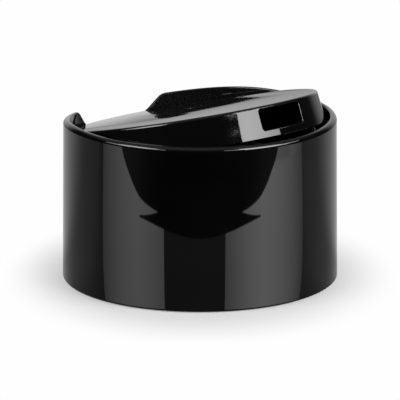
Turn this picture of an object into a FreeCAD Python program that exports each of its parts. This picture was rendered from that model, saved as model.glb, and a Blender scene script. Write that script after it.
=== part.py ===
import FreeCAD, Part
import math
import os

# Disc top closure for a 38 mm bottle neck: a moulded cap body and a moulded press disc.
# All lengths are millimetres and all angles are degrees.
# The Z axis is the bottle axis, with z = 0 at the open foot of the cap.
# The disc pours toward -Y and is pressed down at +Y.

# cap body, outside
cap_height = 24.7           # foot to the level front of the rim
foot_radius = 20.7          # outer radius at the foot; the other radii follow from it
rim_draft = 0.25            # the rim is this much smaller in radius, for mould draft
skirt_wall = 1.7            # wall from the outside of the foot to the root of the thread
rim_wall = 1.0              # ring wall beside the disc
rim_round = 0.7             # outer rounding of the rim
rim_inner_round = 0.2       # inner rounding of the rim
foot_round = 0.3            # rounding of both foot edges

# rear of the rim: a long gentle sweep down toward the finger notch
sweep_behind = 5.0          # behind the axis, where the sweep leaves the level rim
sweep_radius = 66.0         # radius of the sweep in the side view
sweep_arc = 22.0            # arc that is swept, carried on past the back of the cap
notch_depth = 4.2           # floor of the finger notch below the level rim
notch_floor_half = 4.6      # half width of the flat floor
notch_foot_radius = 3.0     # hollow corner between floor and flank
notch_flank_angle = 48.0    # slope of the flank from level
notch_corner_round = 1.5    # rounded top corner of the flank

# press disc
disc_below_rim = 0.2        # edge of the closed disc below the level rim
disc_crown = 0.4            # the middle of the top face stands this much above its edge
disc_gap = 0.42             # foot of the disc skirt to the ring wall
disc_plate = 1.3            # thickness of the top plate at its edge
disc_skirt_depth = 4.8      # edge of the top face down to the foot of the skirt
disc_skirt_flare = 8.0      # the skirt widens downward by this half angle
disc_skirt_wall = 1.0       # thickness of the skirt
disc_edge_round = 0.4       # rounding of the top edge
disc_foot_round = 0.2       # rounding of the outer foot edge of the skirt
gate_dimple_radius = 1.9    # shallow moulding gate dimple in the middle of the top
gate_dimple_depth = 0.25

# pivot of the disc in the cap body
open_angle = 13.5           # tilt from closed to pouring
pivot_back = 3.9            # pivot axis behind the bottle axis
pivot_depth = 3.5           # pivot axis below the edge of the closed disc
trunnion_radius = 1.2
trunnion_fit = 0.05         # radial running clearance of a trunnion in its recess
trunnion_end_gap = 0.15     # end of a trunnion to the bottom of its recess
trunnion_engage = 0.35      # how far a trunnion reaches into the ring wall

# pouring window in the disc skirt
window_width = 8.0
window_height = 3.15
window_below_top = 0.45     # edge of the top face down to the upper edge of the window
window_corner = 0.4
window_edge_round = 0.15    # rounding where the window opens through the skirt

# passage under the disc
orifice_ahead = 3.0         # orifice axis ahead of the bottle axis
orifice_radius = 2.6
boss_wall = 1.0             # tube wall round the orifice
boss_below_disc = 3.6       # top of the orifice tube below the edge of the closed disc
collar_gap = 1.0            # orifice tube to the collar of the disc, room for the tilt
collar_wall = 0.8
collar_depth = 6.6          # edge of the top face down to the foot of the collar
duct_floor = 0.8            # floor plate of the pouring passage
plug_clearance = 0.35       # plug to orifice
plug_reach = 1.2            # plug below the top of the orifice tube
plug_taper = 0.4            # radius lost at the tip of the plug

# inside of the cap body
deck_thickness = 1.3
disc_stop_gap = 0.35        # lowest edge of the open disc to the deck
deck_corner = 0.6           # hollow corners where the deck meets the wall

# neck thread, 38 mm with six threads to the inch
thread_height = 1.15
thread_pitch = 4.233
thread_turns = 1.5
thread_base_width = 2.2
thread_crest_width = 0.9
thread_start = 3.2          # middle of the thread at its first end, above the foot
thread_sink = 0.15          # how far the thread form is rooted in the wall
mouth_relief = 0.35         # the mouth is this much wider than the thread root
mouth_depth = 1.2

# ring under the deck that plugs the bottle bore
neck_land = 3.1             # room for the lip of the neck, from the thread root to the ring
seal_wall = 0.9
seal_depth = 2.8
seal_taper = 0.35

# how closely an edge has to match before it is rounded
same_size = 0.01            # radii and heights this close are the same
on_wall_within = 0.02       # an edge this close to a wall lies on it
rim_margin = 0.05           # height left free at the level rim and at the notch floor
wall_share = 0.8            # a corner edge crosses at least this share of the ring wall
straight_share = 0.99       # an edge is along a direction when this share of it is
rim_probes = 4              # steps at which an edge of the rim is probed

# sizes that follow from those above
rim_radius = foot_radius - rim_draft
well_radius = rim_radius - rim_wall
thread_root_radius = foot_radius - skirt_wall
seal_outer_radius = thread_root_radius - neck_land
pivot_y = pivot_back
disc_top = cap_height - disc_below_rim
pivot_z = disc_top - pivot_depth
skirt_flare_tan = math.tan(math.radians(disc_skirt_flare))
disc_foot_radius = well_radius - disc_gap
disc_top_radius = disc_foot_radius - disc_skirt_depth * skirt_flare_tan
boss_radius = orifice_radius + boss_wall
collar_radius = boss_radius + collar_gap
boss_top = disc_top - boss_below_disc
reach = 2.0 * foot_radius   # half size of tool bodies, larger than the cap

up = FreeCAD.Vector(0, 0, 1)
across = FreeCAD.Vector(1, 0, 0)


def point(x, y, z):
    return FreeCAD.Vector(x, y, z)


def revolved(outline):
    """Solid of revolution about the bottle axis from (radius, height) pairs."""
    points = [point(r, 0, z) for r, z in outline]
    face = Part.Face(Part.makePolygon(points + points[:1]))
    return face.revolve(point(0, 0, 0), up, 360)


def block(x0, x1, y0, y1, z0, z1):
    return Part.makeBox(x1 - x0, y1 - y0, z1 - z0, point(x0, y0, z0))


def turned_at_pivot(shape, angle):
    """The shape swung about the trunnion axis; a positive angle lowers the rear."""
    moved = shape.copy()
    moved.rotate(point(0, pivot_y, pivot_z), across, -angle)
    return moved


def lowest_disc_edge():
    """Height of the lowest rear edge of the skirt when the disc is fully open."""
    turn = math.radians(open_angle)
    behind = disc_foot_radius - pivot_back
    below = disc_skirt_depth - pivot_depth
    return pivot_z - behind * math.sin(turn) - below * math.cos(turn)


deck_top = lowest_disc_edge() - disc_stop_gap
deck_bottom = deck_top - deck_thickness


def body_shell():
    """Turned form of the cap body with its foot, well, deck and hollow corners."""
    mouth_radius = thread_root_radius + mouth_relief
    shell = revolved([
        (foot_radius, 0), (rim_radius, cap_height), (well_radius, cap_height),
        (well_radius, deck_top), (0, deck_top), (0, deck_bottom),
        (thread_root_radius, deck_bottom),
        (thread_root_radius, mouth_depth + mouth_relief),
        (mouth_radius, mouth_depth), (mouth_radius, 0)])
    corners = [e for e in shell.Edges if is_circle_at(e, well_radius, deck_top)
               or is_circle_at(e, thread_root_radius, deck_bottom)]
    shell = shell.makeFillet(deck_corner, corners)
    foot = [e for e in shell.Edges if is_circle_at(e, foot_radius, 0)
            or is_circle_at(e, mouth_radius, 0)]
    return shell.makeFillet(foot_round, foot)


def is_circle_at(edge, radius, height):
    if edge.Degenerated:
        return False
    curve = edge.Curve
    return (isinstance(curve, Part.Circle) and abs(curve.Radius - radius) < same_size
            and abs(curve.Center.z - height) < same_size)


def rim_sweep_tool():
    """What lies above the rear sweep of the rim, as one long bar across the cap."""
    centre_z = cap_height - sweep_radius
    end_turn = math.radians(sweep_arc)
    mid_turn = end_turn / 2
    end_y = sweep_behind + sweep_radius * math.sin(end_turn)
    start = point(-reach, sweep_behind, cap_height)
    middle = point(-reach, sweep_behind + sweep_radius * math.sin(mid_turn),
                   centre_z + sweep_radius * math.cos(mid_turn))
    end = point(-reach, end_y, centre_z + sweep_radius * math.cos(end_turn))
    corner = point(-reach, end_y, cap_height + rim_wall)
    top = point(-reach, sweep_behind, cap_height + rim_wall)
    edges = [Part.Arc(start, middle, end).toShape(), Part.LineSegment(end, corner).toShape(),
             Part.LineSegment(corner, top).toShape(), Part.LineSegment(top, start).toShape()]
    return Part.Face(Part.Wire(edges)).extrude(point(2 * reach, 0, 0))


def notch_tool():
    """Finger notch: level floor, hollow corners and sloping flanks, cut through the rear wall."""
    floor_z = cap_height - notch_depth
    turn = math.radians(notch_flank_angle)
    foot_x = notch_floor_half + notch_foot_radius * math.sin(turn)
    foot_z = floor_z + notch_foot_radius * (1 - math.cos(turn))
    mid_x = notch_floor_half + notch_foot_radius * math.sin(turn / 2)
    mid_z = floor_z + notch_foot_radius * (1 - math.cos(turn / 2))
    top_z = cap_height + rim_wall
    top_x = foot_x + (top_z - foot_z) / math.tan(turn)

    def at(x, z):
        return point(x, pivot_y, z)

    edges = [
        Part.LineSegment(at(-notch_floor_half, floor_z), at(notch_floor_half, floor_z)).toShape(),
        Part.Arc(at(notch_floor_half, floor_z), at(mid_x, mid_z), at(foot_x, foot_z)).toShape(),
        Part.LineSegment(at(foot_x, foot_z), at(top_x, top_z)).toShape(),
        Part.LineSegment(at(top_x, top_z), at(-top_x, top_z)).toShape(),
        Part.LineSegment(at(-top_x, top_z), at(-foot_x, foot_z)).toShape(),
        Part.Arc(at(-foot_x, foot_z), at(-mid_x, mid_z), at(-notch_floor_half, floor_z)).toShape(),
    ]
    return Part.Face(Part.Wire(edges)).extrude(point(0, reach, 0))


def edge_middle(edge):
    return edge.valueAt((edge.FirstParameter + edge.LastParameter) / 2)


def finished_rim(shell):
    """Sweep and notch cut in the rim, then its corners and both long edges rounded."""
    body = shell.cut(rim_sweep_tool()).cut(notch_tool())
    corners = [e for e in body.Edges if is_notch_corner(e)]
    body = body.makeFillet(notch_corner_round, corners)
    outer = [e for e in body.Edges if is_rim_edge(e, outer=True)]
    body = body.makeFillet(rim_round, outer)
    inner = [e for e in body.Edges if is_rim_edge(e, outer=False)]
    return body.makeFillet(rim_inner_round, inner)


def is_notch_corner(edge):
    """Short edge across the ring wall where a notch flank meets the swept rim."""
    middle = edge_middle(edge)
    ends = [v.Point for v in edge.Vertexes]
    below_rim = cap_height - middle.z
    flank_foot = notch_depth - notch_foot_radius * (1 - math.cos(math.radians(notch_flank_angle)))
    if len(ends) != 2 or not rim_margin < below_rim < flank_foot - rim_margin:
        return False
    spans = abs(math.hypot(ends[0].x, ends[0].y) - math.hypot(ends[1].x, ends[1].y))
    return spans > wall_share * rim_wall and abs(middle.x) > notch_floor_half


def is_rim_edge(edge, outer):
    """Edge that runs along the outer or inner face of the ring wall at its top."""
    low = cap_height - notch_depth - rim_margin
    wall = outer_radius_at if outer else (lambda z: well_radius)
    step = (edge.LastParameter - edge.FirstParameter) / rim_probes
    spots = [edge.valueAt(edge.FirstParameter + step * k) for k in range(rim_probes + 1)]
    on_wall = all(abs(math.hypot(p.x, p.y) - wall(p.z)) < on_wall_within and p.z > low for p in spots)
    upright = abs(spots[0].z - spots[-1].z) > straight_share * edge.Length
    return on_wall and not upright


def outer_radius_at(z):
    return foot_radius + (rim_radius - foot_radius) * z / cap_height


def neck_thread():
    """Inside thread: a trapezoid form carried up a helix, rooted in the wall."""
    root = thread_root_radius + thread_sink
    crest = thread_root_radius - thread_height
    half_root = thread_base_width / 2
    half_crest = thread_crest_width / 2
    form = Part.makePolygon([
        point(root, 0, thread_start - half_root), point(crest, 0, thread_start - half_crest),
        point(crest, 0, thread_start + half_crest), point(root, 0, thread_start + half_root),
        point(root, 0, thread_start - half_root)])
    helix = Part.makeHelix(thread_pitch, thread_pitch * thread_turns, root)
    helix.translate(point(0, 0, thread_start))
    return Part.Wire(helix).makePipeShell([form], True, True)


def orifice_tube():
    return Part.makeCylinder(boss_radius, boss_top - deck_bottom,
                             point(0, -orifice_ahead, deck_bottom), up)


def bore_seal():
    """Tapered ring under the deck that plugs the bore of the bottle neck."""
    inner = seal_outer_radius - seal_wall
    foot = deck_bottom - seal_depth
    return revolved([
        (inner, deck_top), (seal_outer_radius, deck_top), (seal_outer_radius, foot + seal_taper),
        (seal_outer_radius - seal_taper, foot), (inner, foot)])


def trunnion_reach():
    """Distance from the middle plane to the ring wall at the pivot, measured along the trunnions."""
    return math.sqrt(well_radius ** 2 - pivot_y ** 2)


def trunnion_recess(side):
    depth = trunnion_engage + trunnion_end_gap
    start = trunnion_reach() - rim_wall
    return Part.makeCylinder(trunnion_radius + trunnion_fit, rim_wall + depth,
                             point(side * start, pivot_y, pivot_z), point(side, 0, 0))


def make_cap_body():
    body = finished_rim(body_shell())
    body = body.fuse([bore_seal(), orifice_tube(), neck_thread()])
    body = body.cut(Part.makeCylinder(orifice_radius, cap_height,
                                      point(0, -orifice_ahead, deck_bottom - seal_depth), up))
    return body.cut([trunnion_recess(1), trunnion_recess(-1)])


def crown_arc():
    """Shallow arc of the top face, from its raised middle to its edge."""
    crest = disc_top + disc_crown
    arc_radius = (disc_top_radius ** 2 + disc_crown ** 2) / (2 * disc_crown)
    mid_radius = disc_top_radius / 2
    mid_z = crest - arc_radius + math.sqrt(arc_radius ** 2 - mid_radius ** 2)
    return Part.Arc(point(0, 0, crest), point(mid_radius, 0, mid_z),
                    point(disc_top_radius, 0, disc_top)).toShape()


def disc_shell():
    """Turned form of the disc: crowned plate and flared skirt with rounded edges."""
    foot = disc_top - disc_skirt_depth
    plate_under = disc_top - disc_plate
    inner_top = disc_top_radius + disc_plate * skirt_flare_tan - disc_skirt_wall
    outline = [(disc_top_radius, disc_top), (disc_foot_radius, foot),
               (disc_foot_radius - disc_skirt_wall, foot), (inner_top, plate_under),
               (0, plate_under), (0, disc_top + disc_crown)]
    lines = Part.makePolygon([point(r, 0, z) for r, z in outline]).Edges
    shell = Part.Face(Part.Wire([crown_arc()] + lines)).revolve(point(0, 0, 0), up, 360)
    top_edge = [e for e in shell.Edges if is_circle_at(e, disc_top_radius, disc_top)]
    shell = shell.makeFillet(disc_edge_round, top_edge)
    foot_edge = [e for e in shell.Edges if is_circle_at(e, disc_foot_radius, foot)]
    return shell.makeFillet(disc_foot_round, foot_edge)


def make_closed_disc():
    """The press disc as it lies when closed, its edge just below the level front of the rim."""
    disc = disc_shell()
    disc = disc.fuse([pouring_duct(), orifice_collar(), orifice_plug(), trunnion(1), trunnion(-1)])
    disc = disc.cut([duct_hollow(), pouring_window(), gate_dimple()]).removeSplitter()
    return disc.makeFillet(window_edge_round, [e for e in disc.Edges if is_window_edge(e)])


def skirt_radius_at(z):
    return disc_top_radius + (disc_top - z) * skirt_flare_tan


def is_window_edge(edge):
    """Edge where the pouring window comes out through the outside of the skirt."""
    middle = edge_middle(edge)
    off_skirt = abs(math.hypot(middle.x, middle.y) - skirt_radius_at(middle.z))
    in_width = abs(middle.x) < window_width / 2 + same_size
    below_top = disc_top - middle.z
    in_height = window_below_top - same_size < below_top < window_below_top + window_height + same_size
    return off_skirt < on_wall_within and middle.y < 0 and in_width and in_height


def disc_envelope():
    """Solid cone inside the skirt, used to trim what hangs under the plate."""
    top = disc_top - disc_plate / 2
    half = disc_skirt_wall / 2
    upper = disc_top_radius + disc_plate / 2 * skirt_flare_tan - half
    lower = disc_foot_radius - half
    return revolved([(0, top), (upper, top), (lower, disc_top - disc_skirt_depth),
                     (lower, disc_top - collar_depth), (0, disc_top - collar_depth)])


def duct_bottom():
    return disc_top - window_below_top - window_height


def pouring_duct():
    """Box under the plate from the collar to the window: two cheeks and a floor."""
    half = window_width / 2 + collar_wall
    box = block(-half, half, -disc_foot_radius, -orifice_ahead, duct_bottom() - duct_floor,
                disc_top - disc_plate / 2)
    return box.common(disc_envelope())


def orifice_collar():
    foot = disc_top - collar_depth
    return Part.makeCylinder(collar_radius + collar_wall, disc_top - disc_plate / 2 - foot,
                             point(0, -orifice_ahead, foot), up)


def duct_hollow():
    """Free way of the product: the inside of the collar and of the duct, round the plug."""
    roof = disc_top - disc_plate
    foot = disc_top - collar_depth
    half = window_width / 2
    way = block(-half, half, -disc_foot_radius + disc_skirt_wall, -orifice_ahead, duct_bottom(), roof)
    pot = Part.makeCylinder(collar_radius, roof - foot, point(0, -orifice_ahead, foot), up)
    return way.fuse(pot).cut(orifice_plug())


def orifice_plug():
    """Plug that closes the orifice when the disc lies flat, tapered at its tip."""
    radius = orifice_radius - plug_clearance
    tip = boss_top - plug_reach
    shaft = Part.makeCylinder(radius, disc_top - disc_plate / 2 - boss_top,
                              point(0, -orifice_ahead, boss_top), up)
    end = Part.makeCone(radius - plug_taper, radius, plug_reach, point(0, -orifice_ahead, tip), up)
    return shaft.fuse(end)


def pouring_window():
    """Rounded rectangle cut through the front of the skirt."""
    half = window_width / 2
    upper = disc_top - window_below_top
    tool = block(-half, half, -reach, -collar_radius - orifice_ahead, duct_bottom(), upper)
    corners = [e for e in tool.Edges if abs(e.tangentAt(e.FirstParameter).y) > straight_share]
    return tool.makeFillet(window_corner, corners)


def gate_dimple():
    crest = disc_top + disc_crown
    return Part.makeCylinder(gate_dimple_radius, 2 * gate_dimple_depth,
                             point(0, 0, crest - gate_dimple_depth), up)


def trunnion(side):
    start = trunnion_reach() - rim_wall - disc_skirt_wall / 2
    end = trunnion_reach() + trunnion_engage
    return Part.makeCylinder(trunnion_radius, end - start, point(side * start, pivot_y, pivot_z),
                             point(side, 0, 0))


def write(name, shape):
    solid = shape.Solids[0] if len(shape.Solids) == 1 else shape
    solid.exportStep(os.path.join("parts", name + ".step"))
    print(name, "solids", len(shape.Solids), "valid", shape.isValid(), "volume", round(shape.Volume, 2))


os.makedirs("parts", exist_ok=True)
write("cap_body", make_cap_body())
write("press_disc", turned_at_pivot(make_closed_disc(), open_angle))
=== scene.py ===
import logging
import math
from dataclasses import dataclass, field
from enum import Enum
from typing import Optional, Union

import bpy
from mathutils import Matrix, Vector

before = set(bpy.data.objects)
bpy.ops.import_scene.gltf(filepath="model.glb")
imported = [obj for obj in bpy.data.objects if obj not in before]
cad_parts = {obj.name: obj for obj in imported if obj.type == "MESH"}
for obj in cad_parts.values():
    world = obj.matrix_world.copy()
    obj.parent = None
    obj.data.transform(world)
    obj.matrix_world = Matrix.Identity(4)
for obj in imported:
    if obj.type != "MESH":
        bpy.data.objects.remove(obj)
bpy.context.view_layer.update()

log = logging.getLogger("disc_top_cap")

Number = Union[int, float]
Value = Union["Sock", Number]


class MixKind(Enum):
    """What a Mix node mixes: its data type, the sockets of its two values and that of its result."""

    COLOUR = ("RGBA", 6, 7, 2)
    NORMAL = ("VECTOR", 4, 5, 1)


class Sock:
    """An output socket of a node, for use in arithmetic."""

    def __init__(self, tree: bpy.types.NodeTree, socket: bpy.types.NodeSocket) -> None:
        """Keeps the tree, so that a sum can add its own nodes."""
        self.tree = tree
        self.socket = socket

    def math(self, operation: str, *others: Value, first: Optional[Value] = None) -> "Sock":
        """One Math node on this socket.

        Args:
            operation: the Math node's operation.
            others: the values after this one.
            first: a value that stands before this socket, for reflected forms.

        Returns:
            The node's result.
        """
        node = self.tree.nodes.new("ShaderNodeMath")
        node.operation = operation
        values = ([first] if first is not None else []) + [self, *others]
        for slot, value in zip(node.inputs, values):
            if isinstance(value, Sock):
                self.tree.links.new(value.socket, slot)
            else:
                slot.default_value = value
        return Sock(self.tree, node.outputs[0])

    def __add__(self, other: Value) -> "Sock":
        """The sum."""
        return self.math("ADD", other)

    def __radd__(self, other: Number) -> "Sock":
        """The sum, number first."""
        return self.math("ADD", other)

    def __sub__(self, other: Value) -> "Sock":
        """The difference."""
        return self.math("SUBTRACT", other)

    def __rsub__(self, other: Number) -> "Sock":
        """The difference, number first."""
        return self.math("SUBTRACT", first=other)

    def __mul__(self, other: Value) -> "Sock":
        """The product."""
        return self.math("MULTIPLY", other)

    def __rmul__(self, other: Number) -> "Sock":
        """The product, number first."""
        return self.math("MULTIPLY", other)

    def __truediv__(self, other: Value) -> "Sock":
        """The quotient."""
        return self.math("DIVIDE", other)

    def __abs__(self) -> "Sock":
        """This value without its sign."""
        return self.math("ABSOLUTE")

    def power(self, exponent: Number) -> "Sock":
        """This value raised to a power."""
        return self.math("POWER", exponent)

    def at_least(self, low: Number) -> "Sock":
        """This value, or the lowest one allowed."""
        return self.math("MAXIMUM", low)

    def rise(self, low: Number, high: Number) -> "Sock":
        """A smooth step.

        Args:
            low: where the step starts, at 0.
            high: where it ends, at 1; it may be the smaller one.

        Returns:
            A value from 0 to 1.
        """
        share = ((self - low) / (high - low)).at_least(0.0).math("MINIMUM", 1.0)
        return share * share * (3.0 - 2.0 * share)


def length_of(first: Sock, second: Sock) -> Sock:
    """The length of a flat line with these two parts."""
    return (first * first + second * second).power(0.5)


@dataclass(frozen=True)
class Place:
    """The three parts of a coordinate."""

    x: Sock
    y: Sock
    z: Sock

    @property
    def radius(self) -> Sock:
        """The distance from the bottle axis."""
        return length_of(self.x, self.y)


@dataclass(frozen=True)
class Grain:
    """The look of one cloudy noise: its features in a metre, its finer layers and their strength."""

    per_metre: float
    detail: float
    roughness: float = 0.5


class Recipe:
    """Builds the node tree of one material or world."""

    def __init__(self, tree: bpy.types.NodeTree) -> None:
        """Starts from an empty tree."""
        self.tree = tree
        tree.nodes.clear()

    def node(self, kind: str, settings: Optional[dict] = None, inputs: Optional[dict] = None,
             out: Union[int, str] = 0) -> Sock:
        """Adds a node.

        Args:
            kind: the node's type.
            settings: its properties, which are set first.
            inputs: a value or a link for each socket, by name or number.
            out: the output that is wanted.

        Returns:
            That output.
        """
        made = self.tree.nodes.new(kind)
        for name, value in (settings or {}).items():
            setattr(made, name, value)
        for name, value in (inputs or {}).items():
            if isinstance(value, Sock):
                self.tree.links.new(value.socket, made.inputs[name])
            else:
                made.inputs[name].default_value = value
        return Sock(self.tree, made.outputs[out])

    def coordinates(self, source: str) -> Sock:
        """A texture coordinate."""
        return self.node("ShaderNodeTexCoord", out=source)

    def split(self, vector: Sock) -> Place:
        """The three parts of a vector."""
        parts = self.node("ShaderNodeSeparateXYZ", None, {0: vector}).socket.node
        return Place(*(Sock(self.tree, socket) for socket in parts.outputs))

    def direction(self, x: Sock, y: Sock, z: Value) -> Sock:
        """The direction of the vector with these three parts."""
        parts = self.node("ShaderNodeCombineXYZ", None, {"X": x, "Y": y, "Z": z})
        return self.node("ShaderNodeVectorMath", {"operation": "NORMALIZE"}, {0: parts})

    def light_path(self, question: str) -> Sock:
        """One where the ray is of the kind that is asked for, and else 0."""
        return self.node("ShaderNodeLightPath", out=question)

    def noise(self, where: Sock, grain: Grain) -> Sock:
        """Cloudy noise from 0 to 1, at coordinates in metres."""
        looks = {"Scale": grain.per_metre, "Detail": grain.detail, "Roughness": grain.roughness}
        return self.node("ShaderNodeTexNoise", None, {"Vector": where, **looks}, "Fac")

    def mix(self, kind: MixKind, share: Sock, first: Union[Sock, tuple], second: Union[Sock, tuple]) -> Sock:
        """Mixes two colours or two normals.

        Args:
            kind: which of the two they are.
            share: 0 for the first and 1 for the second.
            first: the value at 0.
            second: the value at 1.

        Returns:
            The value between them.
        """
        data_type, first_slot, second_slot, result = kind.value
        values = {0: share, first_slot: first, second_slot: second}
        return self.node("ShaderNodeMix", {"data_type": data_type}, values, result)

    def light_of(self, level: Sock) -> Sock:
        """The colour of white light at this level, from 0 to 1."""
        return self.mix(MixKind.COLOUR, level, grey(0.0), grey(1.0))

    def finish(self, shader: Sock, output: str = "ShaderNodeOutputMaterial") -> None:
        """Links a shader to the output of the material or world."""
        out = self.tree.nodes.new(output)
        self.tree.links.new(shader.socket, out.inputs["Surface"])


def grey(level: float) -> tuple:
    """A neutral colour."""
    return (level, level, level, 1.0)


def new_material(name: str) -> tuple:
    """Makes a material.

    Args:
        name: its name.

    Returns:
        The material, and the empty recipe of its node tree.
    """
    material = bpy.data.materials.new(name)
    material.use_nodes = True
    return material, Recipe(material.node_tree)


class Wear:
    """The wear of one moulding. What its own kind doesn't change stays as moulded."""

    def relief(self, place: Place, grit: Sock, height: Sock) -> Sock:
        """The height of the surface as moulded."""
        return height

    def normal(self, made: Recipe, place: Place) -> Sock:
        """The mesh's own normal."""
        return made.node("ShaderNodeNewGeometry", out="Normal")


@dataclass(frozen=True)
class RingWear(Wear):
    """The ring of the body: its rim is touched, and its inner wall is dull.

    Each tuple gives where an effect starts and where it is full.
    """

    handled_z: tuple = (0.0236, 0.0246)
    dull_radius: tuple = (0.0198, 0.0192)
    dull_z: tuple = (0.017, 0.020)
    dull_share: float = 0.7
    rounding_radius: float = 0.019757
    rounding_z: float = 0.0240
    level_to_y: float = 0.0045

    def handled(self, place: Place) -> Sock:
        """How much a place has been touched, from 0 to 1."""
        return place.z.rise(*self.handled_z)

    def dull(self, place: Place) -> Sock:
        """How dull a place is, from 0 to 1."""
        return place.radius.rise(*self.dull_radius) * place.z.rise(*self.dull_z) * self.dull_share

    def normal(self, made: Recipe, place: Place) -> Sock:
        """The surface normal, worked out anew on the outer rounding of the level rim.

        Args:
            made: the material's recipe.
            place: the coordinates, in metres.

        Returns:
            A normal that gives the rounding a light line without ripples.
        """
        radius = place.radius
        out = (radius - self.rounding_radius).at_least(0.0)
        up = (place.z - self.rounding_z).at_least(0.0)
        on_rim = (out * up).math("GREATER_THAN", 0.0) * place.y.math("LESS_THAN", self.level_to_y)
        rounding = made.direction(place.x / radius * out, place.y / radius * out, up)
        return made.mix(MixKind.NORMAL, on_rim, super().normal(made, place), rounding)


@dataclass(frozen=True)
class DiscWear(Wear):
    """The top of the disc: its rear is touched, and its middle is dull and falls a little to the rear.

    Each tuple gives where an effect starts and where it is full.
    """

    handled_y: tuple = (-0.006, 0.014)
    dull_y: tuple = (-0.0095, -0.0060)
    middle_x: tuple = (0.015, 0.007)
    fall_from_y: float = -0.0090
    fall_round: float = 0.0016
    fall_slope: float = 0.034
    grit_height: float = 8.0e-7

    def handled(self, place: Place) -> Sock:
        """How much a place has been touched, from 0 to 1."""
        return place.y.rise(*self.handled_y)

    def middle(self, place: Place) -> Sock:
        """One in the middle of the disc, and 0 near its sides."""
        return abs(place.x).rise(*self.middle_x)

    def dull(self, place: Place) -> Sock:
        """How dull a place is, from 0 to 1."""
        return self.middle(place) * place.y.rise(*self.dull_y)

    def relief(self, place: Place, grit: Sock, height: Sock) -> Sock:
        """The height of the worn surface.

        Args:
            place: the coordinates, in metres.
            grit: a fine noise.
            height: the height as moulded, in metres.

        Returns:
            The same height with grit, falling towards the rear.
        """
        behind = place.y - self.fall_from_y
        fall = (behind + (behind * behind + self.fall_round ** 2).power(0.5)) * 0.5
        return height + self.middle(place) * (grit * self.grit_height - fall * self.fall_slope)


@dataclass(frozen=True)
class MouldedBlack:
    """Glossy black polypropylene as it leaves a polished mould, and its wear.

    Each tuple for a noise gives where its effect starts and where it is full.
    """

    name: str
    wear: Union[RingWear, DiscWear]
    dark: tuple = (0.0009, 0.0009, 0.0010, 1.0)
    worn: tuple = (0.0180, 0.0180, 0.0190, 1.0)
    refraction: float = 1.49
    gloss: float = 0.018
    haze: float = 0.016
    scuff: float = 0.05
    flow: Grain = Grain(90.0, 2.0)
    sink: Grain = Grain(160.0, 1.0)
    peel: Grain = Grain(1500.0, 3.0)
    grit: Grain = Grain(5200.0, 2.0, 0.7)
    flow_marks: tuple = (0.3, 0.7)
    flow_share: float = 0.05
    scuff_marks: tuple = (0.52, 0.78)
    dull_marks: tuple = (0.35, 0.70)
    sink_height: float = 2.0e-6
    peel_height: float = 2.0e-7
    bump_distance: float = 0.001

    def build(self) -> bpy.types.Material:
        """Makes the material.

        Returns:
            A material whose colour, roughness and normal vary over the surface.
        """
        material, made = new_material(self.name)
        where = made.coordinates("Object")
        place = made.split(where)
        flow, grit = made.noise(where, self.flow), made.noise(where, self.grit)
        sink, peel = made.noise(where, self.sink), made.noise(where, self.peel)
        scuffed = self.wear.handled(place) * grit.rise(*self.scuff_marks)
        dulled = self.wear.dull(place) * grit.rise(*self.dull_marks)
        paler = flow.rise(*self.flow_marks) * self.flow_share + dulled
        height = self.wear.relief(place, grit, sink * self.sink_height + peel * self.peel_height)
        bump = made.node("ShaderNodeBump", None, {
            "Height": height / self.bump_distance, "Distance": self.bump_distance, "Strength": 1.0,
            "Normal": self.wear.normal(made, place)})
        made.finish(made.node("ShaderNodeBsdfPrincipled", None, {
            "Base Color": made.mix(MixKind.COLOUR, paler, self.dark, self.worn),
            "Roughness": self.gloss + self.haze * flow + self.scuff * scuffed,
            "Normal": bump, "IOR": self.refraction}))
        return material


@dataclass
class DressedNode:
    """A CAD node with its finish."""

    node: str
    slot: str
    finish: MouldedBlack

    def dress(self) -> None:
        """Gives the node its material."""
        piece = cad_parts[self.node]
        piece.data.materials.clear()
        piece.data.materials.append(self.finish.build())
        log.info("%s: %d faces, finish %s", self.node, len(piece.data.polygons), self.finish.name)


@dataclass
class CapBody(DressedNode):
    """The moulded cap with its ring, notch and thread."""

    node: str = "cap_body"
    slot: str = "body_plastic"
    finish: MouldedBlack = field(default_factory=lambda: MouldedBlack("body_black", RingWear()))


@dataclass
class PressDisc(DressedNode):
    """The tilting disc."""

    node: str = "press_disc"
    slot: str = "disc_plastic"
    finish: MouldedBlack = field(default_factory=lambda: MouldedBlack("disc_black", DiscWear()))


@dataclass(frozen=True)
class Picture:
    """The level directions of the photograph: ahead is towards the camera, aside is to the right."""

    azimuth_deg: float = -43.4

    @property
    def forward(self) -> Vector:
        """The level direction from the cap to the camera."""
        turn = math.radians(self.azimuth_deg)
        return Vector((math.sin(turn), -math.cos(turn), 0))

    @property
    def right(self) -> Vector:
        """The level direction to the right of the picture."""
        return Vector((-self.forward.y, self.forward.x, 0))

    def ahead(self, place: Place) -> Sock:
        """How far a place lies ahead of the bottle axis."""
        return place.x * self.forward.x + place.y * self.forward.y

    def aside(self, place: Place) -> Sock:
        """How far a place lies to the right of the bottle axis."""
        return place.x * self.right.x + place.y * self.right.y

    def lay(self, mesh: bpy.types.Mesh, drop: float) -> None:
        """Turns a flat mesh from the picture's directions to the frame's axes, face up.

        Args:
            mesh: the mesh, its X ahead and its Y aside.
            drop: how far under the foot plane it comes to lie.
        """
        for vertex in mesh.vertices:
            level = self.forward * vertex.co.x + self.right * vertex.co.y
            vertex.co = (level.x, level.y, -drop)
        if mesh.polygons[0].normal.z < 0:
            mesh.flip_normals()


def reflected_only(piece: bpy.types.Object) -> None:
    """Makes a stage piece that the camera doesn't see and that casts no shadow.

    Args:
        piece: the piece.
    """
    piece.visible_camera = False
    piece.visible_shadow = False


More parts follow.
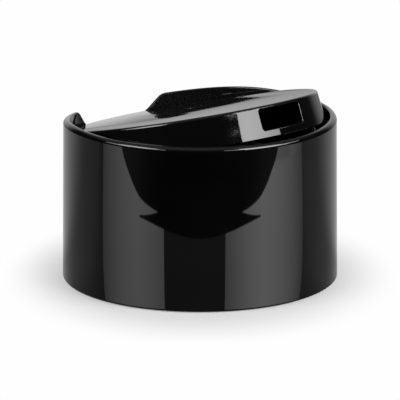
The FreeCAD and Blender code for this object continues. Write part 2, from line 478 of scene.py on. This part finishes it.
def flat_piece(name: str, picture: Picture, outline: list, drop: float) -> bpy.types.Object:
    """Makes a flat stage piece that shows in glossy reflections only.

    Args:
        name: the piece's name.
        picture: the directions of the photograph.
        outline: its corners, ahead and aside.
        drop: how far it lies under the foot plane.

    Returns:
        The piece, with no material yet.
    """
    bpy.ops.object.select_all(action="DESELECT")
    bpy.ops.mesh.primitive_circle_add(vertices=len(outline), fill_type="NGON")
    piece = bpy.context.object
    piece.name = name
    for vertex, (ahead, aside) in zip(piece.data.vertices, outline):
        vertex.co = (ahead, aside, 0)
    piece.data.update()
    picture.lay(piece.data, drop)
    piece.visible_diffuse = False
    reflected_only(piece)
    return piece


@dataclass(frozen=True)
class LightPanel:
    """A curved softbox round the cap, seen only in reflections.

    Its angles are seen from the origin of the frame, and those across are counted from the camera to the
    right. Its light is a share of the peak at its sides and top. Its outer side leans by lean_deg.
    """

    name: str
    across_deg: tuple
    height_deg: tuple
    peak: float
    peak_deg: float
    edge_share: float
    top_share: float = 1.0
    lean_deg: float = 0.0
    distance: float = 1.0
    columns: int = 24
    rows: int = 6
    edge_power: float = 1.5
    top_fade: tuple = (0.2, 1.0)

    def build(self, picture: Picture) -> None:
        """Bends a grid into the panel.

        Args:
            picture: the directions of the photograph.
        """
        bpy.ops.object.select_all(action="DESELECT")
        bpy.ops.mesh.primitive_grid_add(x_subdivisions=self.columns, y_subdivisions=self.rows, size=1.0)
        panel = bpy.context.object
        panel.name = self.name
        left, right = self.across_deg
        bottom, top = self.height_deg
        for vertex in panel.data.vertices:
            across, up = vertex.co.x + 0.5, vertex.co.y + 0.5
            outer = across if self.lean_deg > 0 else 1.0 - across
            turn = math.radians(left + across * (right - left) + self.lean_deg * outer * up)
            rise = math.radians(bottom + up * (top - bottom))
            level = picture.forward * math.cos(turn) + picture.right * math.sin(turn)
            vertex.co = level * self.distance + Vector((0, 0, self.distance * math.tan(rise)))
        panel.data.materials.append(self.glow())
        reflected_only(panel)

    def glow(self) -> bpy.types.Material:
        """Makes the panel's light.

        Returns:
            A light that is brightest at its peak and weaker toward its sides and top.
        """
        material, made = new_material(self.name + "_glow")
        panel = made.split(made.coordinates("UV"))
        left, right = self.across_deg
        middle = (self.peak_deg - left) / (right - left)
        away = abs((panel.x - middle) / max(middle, 1.0 - middle))
        sides = 1.0 - away.power(self.edge_power) * (1.0 - self.edge_share)
        height = 1.0 - panel.y.rise(*self.top_fade) * (1.0 - self.top_share)
        made.finish(made.node("ShaderNodeEmission", None, {
            "Color": made.light_of(sides * height), "Strength": self.peak}))
        return material


@dataclass(frozen=True)
class Softboxes:
    """The light panels.

    The plate turns the two bands into the light strips on the wall, and the corners fill the tops of the
    strips. The skirt of the disc mirrors the patch. The high panels light the roundings.
    """

    name: str = "light_panels"
    band_deg: tuple = (25.8, 32.5)
    high_deg: tuple = (32.5, 52.0)
    high_edge_share: float = 0.60
    high_top_share: float = 0.25

    def panels(self) -> list:
        """Lists the panels.

        Returns:
            The left ones, then the right ones.
        """
        high = (self.high_edge_share, self.high_top_share)
        return [
            LightPanel("left_corner", (-88.5, -62.0), (22.0, 25.8), 10.0, -52.0, 0.24),
            LightPanel("left_band", (-88.6, -30.3), self.band_deg, 10.0, -52.0, 0.24, lean_deg=-4.0),
            LightPanel("left_panel", (-80.0, -41.0), self.high_deg, 11.0, -60.0, *high),
            LightPanel("right_patch", (38.3, 80.0), (17.0, 25.8), 10.4, 46.0, 0.60),
            LightPanel("right_corner", (80.0, 94.5), (24.0, 25.8), 7.6, 80.0, 0.25),
            LightPanel("right_band", (21.2, 94.5), self.band_deg, 14.0, 54.0, 0.15, lean_deg=7.0),
            LightPanel("right_panel", (37.0, 80.0), self.high_deg, 12.0, 46.0, *high)]

    def build(self, picture: Picture) -> None:
        """Adds the panels.

        Args:
            picture: the directions of the photograph.
        """
        for panel in self.panels():
            panel.build(picture)
            log.info("%s: strength %.1f", panel.name, panel.peak)


@dataclass(frozen=True)
class Polish:
    """A faintly glowing mirror, shaded as a very shallow dish so that it mirrors lights that are high up.

    Its glow is painted light, since the mirror is no lamp: it stands in for the floor where the softboxes
    light it, stronger beside and behind the cap and dimmer in front. Each tuple gives where an effect starts
    and where it is full: at which radius, how far ahead, or at which cosine from straight ahead.
    """

    base: float = 0.004
    roughness: float = 0.01
    refraction: float = 1.5
    slope: float = 0.132
    slope_radius: tuple = (0.24, 0.14)
    glow: float = 0.10
    glow_radius: tuple = (0.19, 0.12)
    beside_glow: float = 0.14
    beside_ahead: tuple = (0.020, 0.004)
    behind_glow: float = 0.28
    behind_cosine: tuple = (-0.20, -0.65)

    def shader(self, made: Recipe, picture: Picture) -> Sock:
        """Adds the mirror to a recipe.

        Args:
            made: the material's recipe.
            picture: the directions of the photograph.

        Returns:
            The shader.
        """
        place = made.split(made.coordinates("Object"))
        ahead, radius = picture.ahead(place), place.radius
        # painted light: the glow stands in for the lit floor, stronger beside and behind the cap and dimmer
        # in front
        beside = ahead.rise(*self.beside_ahead) * self.beside_glow
        behind = (ahead / radius).rise(*self.behind_cosine) * self.behind_glow
        glow = (self.glow + beside + behind) * radius.rise(*self.glow_radius)
        lean = radius.rise(*self.slope_radius) * -self.slope / radius
        return made.node("ShaderNodeBsdfPrincipled", None, {
            "Base Color": grey(self.base), "Roughness": self.roughness, "IOR": self.refraction,
            "Normal": made.direction(place.x * lean, place.y * lean, 1.0),
            "Emission Color": made.light_of(glow), "Emission Strength": 1.0})


@dataclass(frozen=True)
class Plate:
    """The polished plate that the cap stands on, a rounded square."""

    name: str = "studio_plate"
    half_ahead: float = 0.0644
    half_aside: float = 0.0715
    squareness: float = 2.75
    points: int = 96
    drop: float = 0.00003
    polish: Polish = Polish()

    def outline(self) -> list:
        """Works out the rounded square.

        Returns:
            The points of a superellipse, ahead and aside.
        """
        power = 2.0 / self.squareness
        outline = []
        for step in range(self.points):
            turn = 2 * math.pi * step / self.points
            ahead, aside = math.cos(turn), math.sin(turn)
            outline.append((self.half_ahead * math.copysign(abs(ahead) ** power, ahead),
                            self.half_aside * math.copysign(abs(aside) ** power, aside)))
        return outline

    def build(self, picture: Picture) -> None:
        """Adds the plate.

        Args:
            picture: the directions of the photograph.
        """
        plate = flat_piece(self.name, picture, self.outline(), self.drop)
        material, made = new_material("plate_polished")
        made.finish(self.polish.shader(made, picture))
        plate.data.materials.append(material)


@dataclass(frozen=True)
class DarkCard:
    """The dark card in front of the plate, seen only in reflections, paints shade there; painted light makes
    it a little paler toward its sides.

    Its near edge is given from the middle to the right, ahead and aside.
    """

    name: str = "studio_card"
    near_edge: tuple = ((0.040, 0.0), (0.0535, 0.0535), (0.0690, 0.0403), (0.0615, 0.062), (0.055, 0.0975),
                        (0.045, 0.200))
    reach: float = 0.9
    drop: float = 0.00006
    dark: float = 0.004
    pale: float = 0.075
    painted_light_from: tuple = (0.45, 1.5)
    roughness: float = 0.9

    def outline(self) -> list:
        """Works out the whole outline.

        Returns:
            The right half, the far side and the right half mirrored.
        """
        half = [*self.near_edge, (self.near_edge[-1][0], self.reach)]
        far = [(self.reach, self.reach), (self.reach, -self.reach)]
        return half + far + [(ahead, -aside) for ahead, aside in reversed(half) if aside > 0]

    def build(self, picture: Picture) -> None:
        """Adds the card.

        Args:
            picture: the directions of the photograph.
        """
        # painted shade: a dark sheet that shows only in reflections and casts no shadow
        card = flat_piece(self.name, picture, self.outline(), self.drop)
        material, made = new_material("card_painted_shade")
        place = made.split(made.coordinates("Object"))
        # painted light: paler toward the card's sides, as seen from the cap, to set the tone of its
        # reflection
        paler = (abs(picture.aside(place)) / picture.ahead(place)).rise(*self.painted_light_from)
        made.finish(made.node("ShaderNodeBsdfPrincipled", None, {
            "Base Color": made.mix(MixKind.COLOUR, paler, grey(self.dark), grey(self.pale)),
            "Roughness": self.roughness, "Specular IOR Level": 0.0}))
        card.data.materials.append(material)


@dataclass(frozen=True)
class PaleFloor:
    """The wide floor, white to the camera but for a soft shadow round the cap, partly painted and partly
    real, and polished to all else.
    """

    name: str = "studio_floor"
    size: float = 8.0
    drop: float = 0.0001
    white: float = 0.99
    pale: float = 0.51
    shadow_radius: tuple = (0.038, 0.0205)
    shadow_share: float = 0.72
    shadow_narrowing: float = 1.25
    polish: Polish = Polish()

    def build(self, picture: Picture) -> None:
        """Adds the floor.

        Args:
            picture: the directions of the photograph.
        """
        bpy.ops.object.select_all(action="DESELECT")
        bpy.ops.mesh.primitive_plane_add(size=self.size)
        floor = bpy.context.object
        floor.name = self.name
        picture.lay(floor.data, self.drop)
        material, made = new_material("floor_pale")
        shaders = {1: self.polish.shader(made, picture), 2: self.seen(made, picture)}
        made.finish(made.node("ShaderNodeMixShader", None, {0: made.light_path("Is Camera Ray"), **shaders}))
        floor.data.materials.append(material)

    def seen(self, made: Recipe, picture: Picture) -> Sock:
        """What the camera sees of the floor.

        Args:
            made: the material's recipe.
            picture: the directions of the photograph.

        Returns:
            A shader that is plain white, and near the cap mostly a pale diffuse surface darker than the
            white: a painted shadow that fades with distance from the cap, on a surface that also takes the
            cap's real shadow.
        """
        place = made.split(made.coordinates("Object"))
        away = length_of(picture.ahead(place), picture.aside(place) * self.shadow_narrowing)
        # painted shadow: near the cap the white gives way to the darker pale surface, fading with distance
        share = 1.0 - away.rise(*self.shadow_radius) * self.shadow_share
        pale = made.node("ShaderNodeBsdfDiffuse", None, {"Color": grey(self.pale)})
        bright = made.node("ShaderNodeEmission", None, {"Color": grey(1.0), "Strength": self.white})
        return made.node("ShaderNodeMixShader", None, {0: share, 1: pale, 2: bright})


@dataclass(frozen=True)
class Room:
    """The world: white to the camera, an even light, and a dim room for the reflections.

    The room has a white back wall and a pale ceiling. Their tuples give the part of a direction of length
    one at which each starts and at which it is full.
    """

    name: str = "studio_world"
    white: float = 0.99
    plain_light: float = 0.25
    dim: float = 0.03
    back: float = 0.76
    back_from: tuple = (0.64, 1.0)
    ceiling: float = 0.30
    ceiling_from: tuple = (0.45, 0.9)

    def build(self, picture: Picture) -> None:
        """Makes the world and gives it to the scene.

        Args:
            picture: the directions of the photograph.
        """
        world = bpy.data.worlds.new(self.name)
        world.use_nodes = True
        bpy.context.scene.world = world
        made = Recipe(world.node_tree)
        ray = made.split(made.coordinates("Generated"))
        back = (picture.ahead(ray) * -1.0).rise(*self.back_from) * self.back
        room = back + ray.z.rise(*self.ceiling_from) * self.ceiling + self.dim
        unseen = self.plain_light + made.light_path("Is Glossy Ray") * (room - self.plain_light)
        level = unseen + made.light_path("Is Camera Ray") * (self.white - unseen)
        made.finish(made.node("ShaderNodeBackground", None, {"Strength": level, "Color": grey(1.0)}),
                    "ShaderNodeOutputWorld")


@dataclass(frozen=True)
class Viewpoint:
    """The camera at the photograph's angle."""

    name: str = "camera"
    distance: float = 0.617
    height: float = 0.1766
    look_height: float = 0.0115
    lens_mm: float = 382.6
    sensor_mm: float = 36.0
    clip: tuple = (0.01, 50.0)

    def build(self, picture: Picture) -> None:
        """Adds the camera.

        Args:
            picture: the directions of the photograph.
        """
        place = picture.forward * self.distance + Vector((0, 0, self.height))
        bpy.ops.object.camera_add(location=place)
        camera = bpy.context.object
        camera.rotation_mode = "QUATERNION"
        camera.rotation_quaternion = (Vector((0, 0, self.look_height)) - place).to_track_quat("-Z", "Y")
        camera.data.lens = self.lens_mm
        camera.data.sensor_width = self.sensor_mm
        camera.data.clip_start, camera.data.clip_end = self.clip
        bpy.context.scene.camera = camera


@dataclass
class Studio:
    """The camera, the room, the lights and what lies under the cap."""

    picture: Picture = Picture()
    parts: tuple = (Viewpoint(), Room(), Softboxes(), PaleFloor(), Plate(), DarkCard())

    def build(self) -> None:
        """Makes the whole studio."""
        for part in self.parts:
            part.build(self.picture)
            log.info("%s: built", part.name)


def main() -> None:
    """Dresses the part and builds the studio."""
    logging.basicConfig(level=logging.INFO, format="%(name)s: %(message)s")
    scene = bpy.context.scene
    scene.view_settings.view_transform = "Standard"
    for piece in (CapBody(), PressDisc()):
        piece.dress()
    Studio().build()


if __name__ == "__main__":
    main()
